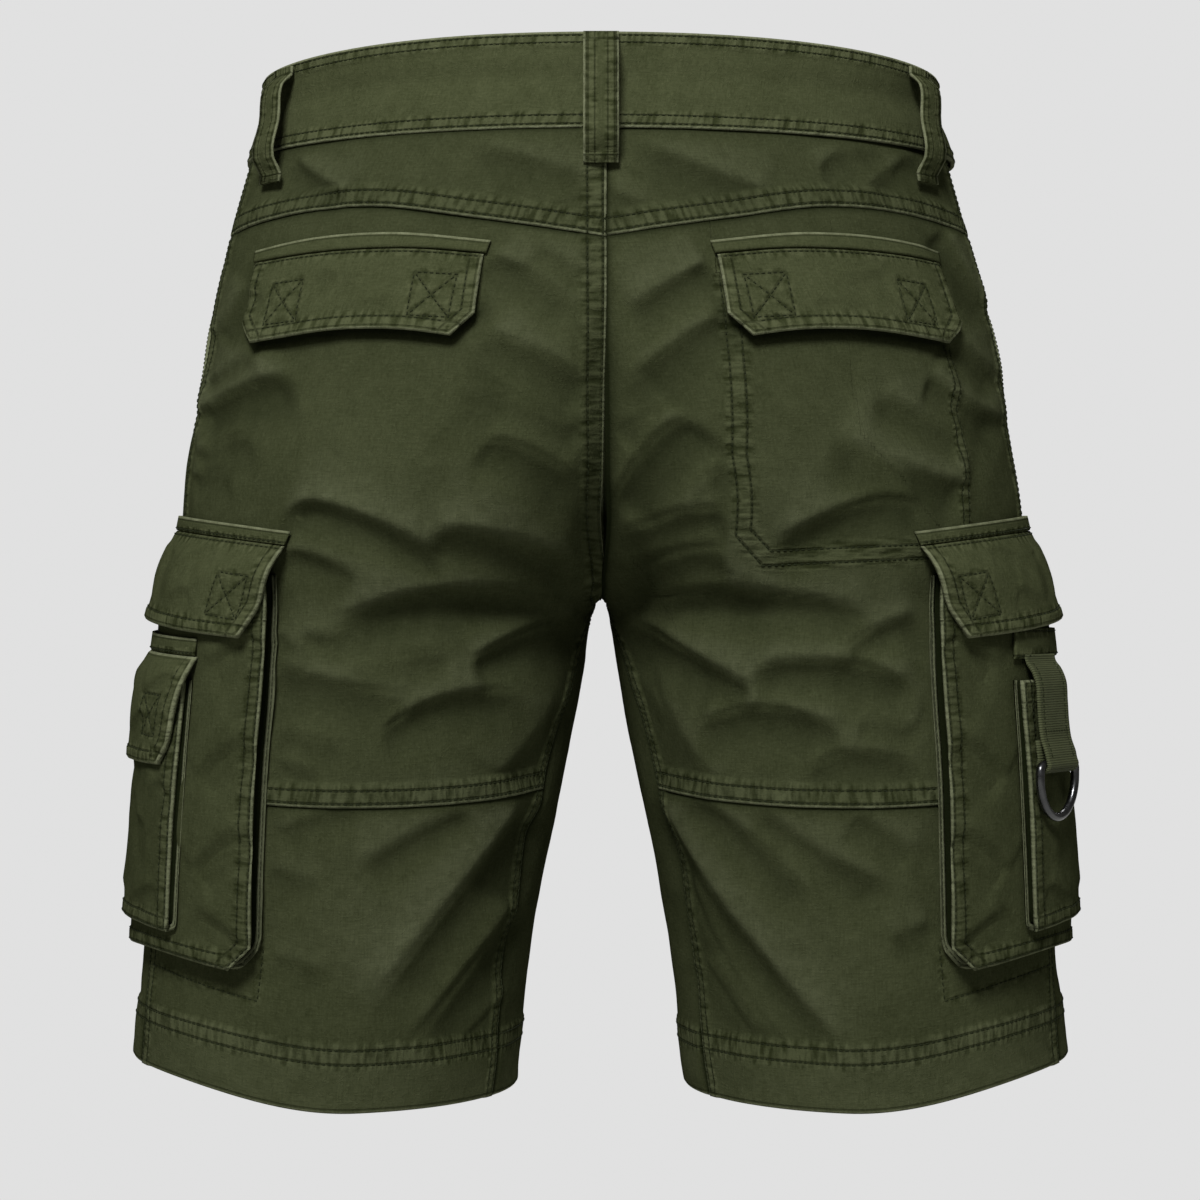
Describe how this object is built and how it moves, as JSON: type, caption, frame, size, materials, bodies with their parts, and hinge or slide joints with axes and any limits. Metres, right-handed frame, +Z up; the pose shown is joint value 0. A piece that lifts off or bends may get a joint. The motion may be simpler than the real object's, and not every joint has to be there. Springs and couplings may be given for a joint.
{
  "type": "cargo shorts",
  "caption": "Olive-green cotton cargo shorts, filled out with no wearer, with flapped back pockets, bellows side pockets and a webbing strap that holds a metal D-ring.",
  "frame": {"origin": "centre of the waist ring, at the middle of the waistband's height", "axes": "+Z up, the front faces -Y and the back +Y, the wearer's left is +X"},
  "size_m": [0.5098, 0.2598, 0.5407],
  "materials": {
    "cotton": "washed canvas",
    "trim_cotton": "washed canvas, doubled",
    "webbing": "ribbed webbing",
    "button": "satin",
    "ring_metal": "gloss"
  },
  "bodies": {
    "shorts": {"waistband": "trim_cotton", "yoke_left": "cotton", "back_left": "cotton", "back_lower_left": "cotton", "front_left": "cotton", "hip_facing_left": "cotton", "yoke_right": "cotton", "back_right": "cotton", "back_lower_right": "cotton", "front_right": "cotton", "hip_facing_right": "cotton", "fly_placket": "cotton", "waist_button": "button", "loop_back": "trim_cotton", "loop_back_left": "trim_cotton", "loop_back_right": "trim_cotton", "loop_front_left": "trim_cotton", "loop_front_right": "trim_cotton", "back_welt_left": "trim_cotton", "back_flap_left": "cotton", "cargo_band_left": "trim_cotton", "cargo_flap_left": "cotton", "cargo_face_left": "cotton", "cargo_gusset_left": "cotton", "small_face_left": "cotton", "small_gusset_left": "cotton", "back_welt_right": "trim_cotton", "back_flap_right": "cotton", "cargo_band_right": "trim_cotton", "cargo_flap_right": "cotton", "cargo_face_right": "cotton", "cargo_gusset_right": "cotton", "small_face_right": "cotton", "small_gusset_right": "cotton", "small_band_left": "trim_cotton", "small_flap_left": "cotton", "strap_band_right": "trim_cotton", "strap_right": "webbing"},
    "d_ring": {"d_ring_right": "ring_metal"}
  },
  "joints": [
    {"name": "d_ring_swing", "type": "hinge", "parent": "shorts", "child": "d_ring", "pos_m": [-0.23285, 0.07685, -0.33896], "axis": [0.6128, 0.7902, 0], "range_deg": [0, 150]}
  ]
}
